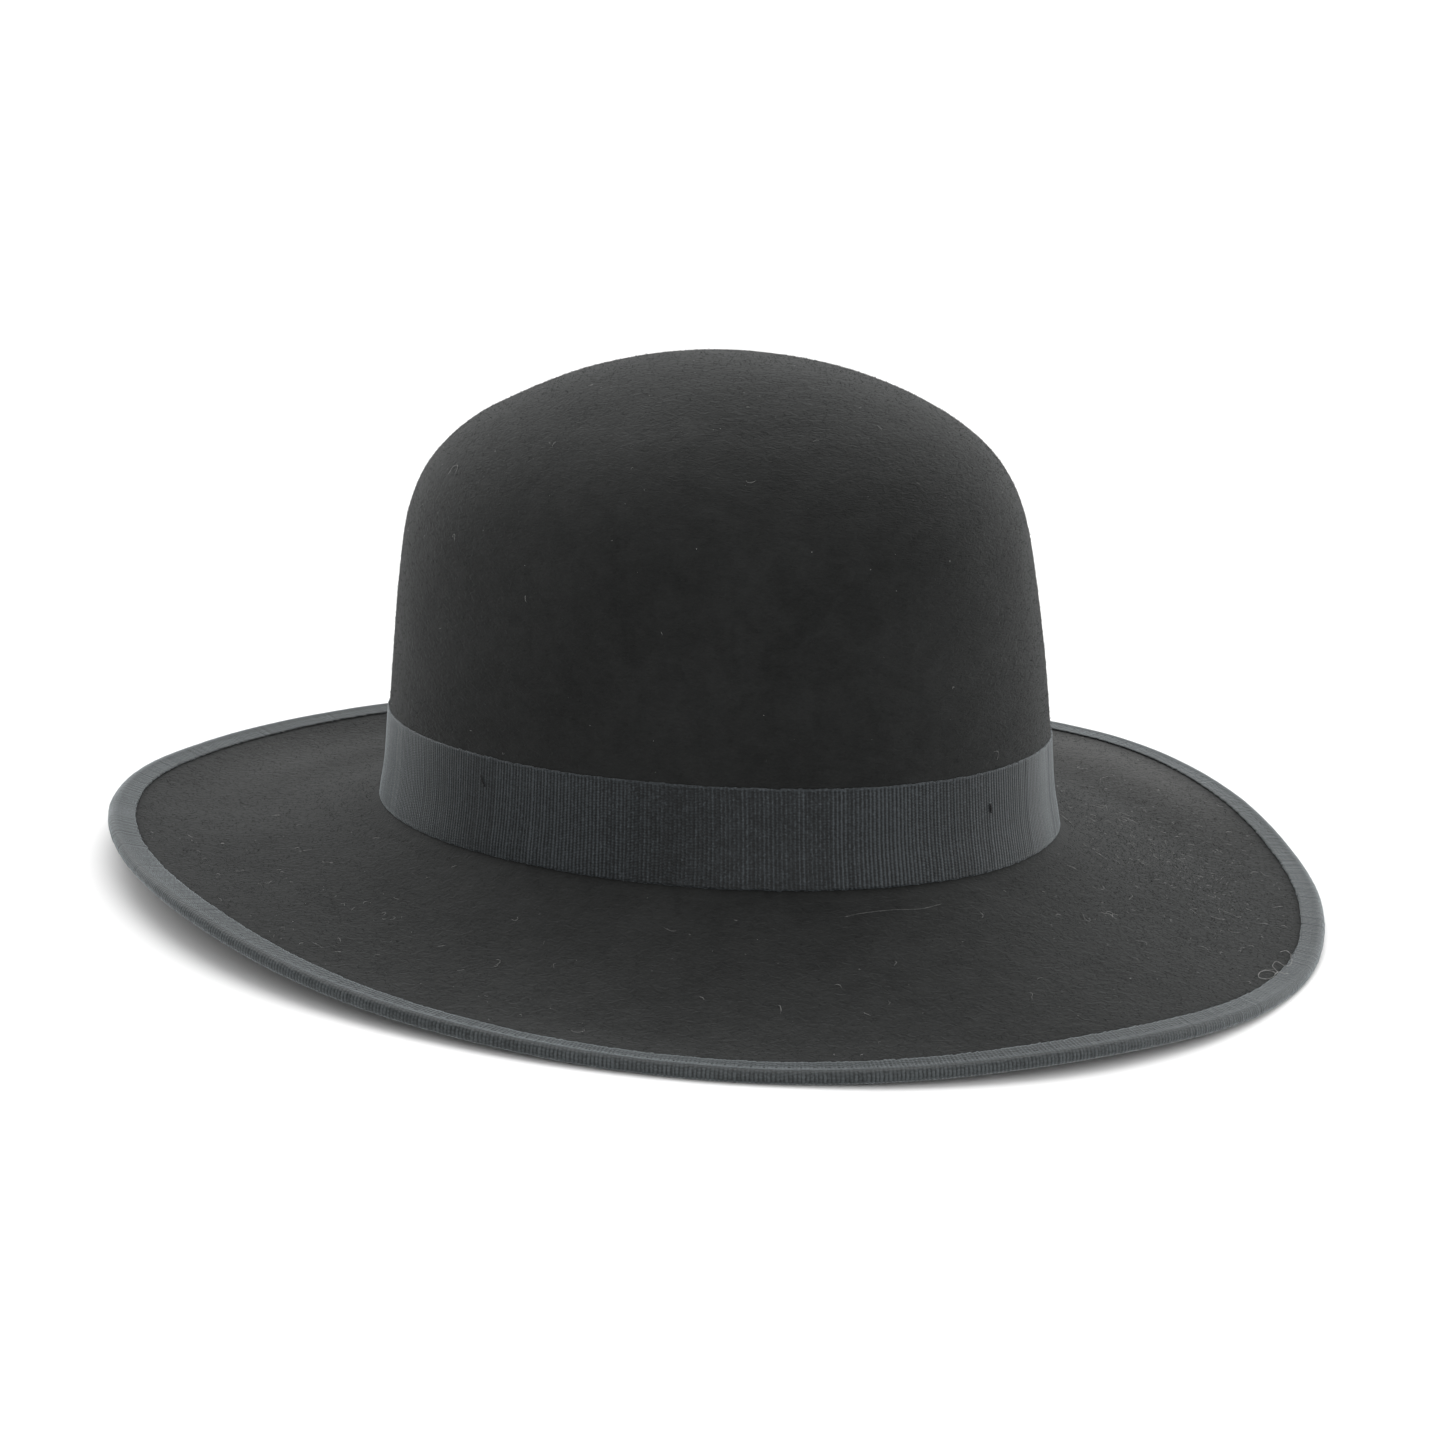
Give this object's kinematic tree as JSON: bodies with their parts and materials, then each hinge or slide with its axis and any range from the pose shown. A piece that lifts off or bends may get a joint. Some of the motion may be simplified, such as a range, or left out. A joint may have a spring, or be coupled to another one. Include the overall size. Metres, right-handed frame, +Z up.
{
  "type": "gardian hat",
  "caption": "Felt hat with a round undented crown, a ribbon at its foot, and a wide curved brim with a ribbon-bound edge.",
  "frame": {"origin": "under the middle of the hat's outline, on the surface that the brim rests on", "axes": "+Z up, -Y the front of the hat, +X the wearer's left"},
  "size_m": [0.3236, 0.3536, 0.1432],
  "materials": {
    "felt": "black wool felt, matt, with a short fine nap",
    "ribbon": "black corded ribbon with fine upright ribs and a faint sheen",
    "binding": "black corded ribbon folded over the brim's edge, ribs across the edge, with a faint sheen"
  },
  "bodies": {
    "root": {"felt_body": "felt", "crown_ribbon": "ribbon", "edge_binding": "binding"}
  },
  "joints": []
}
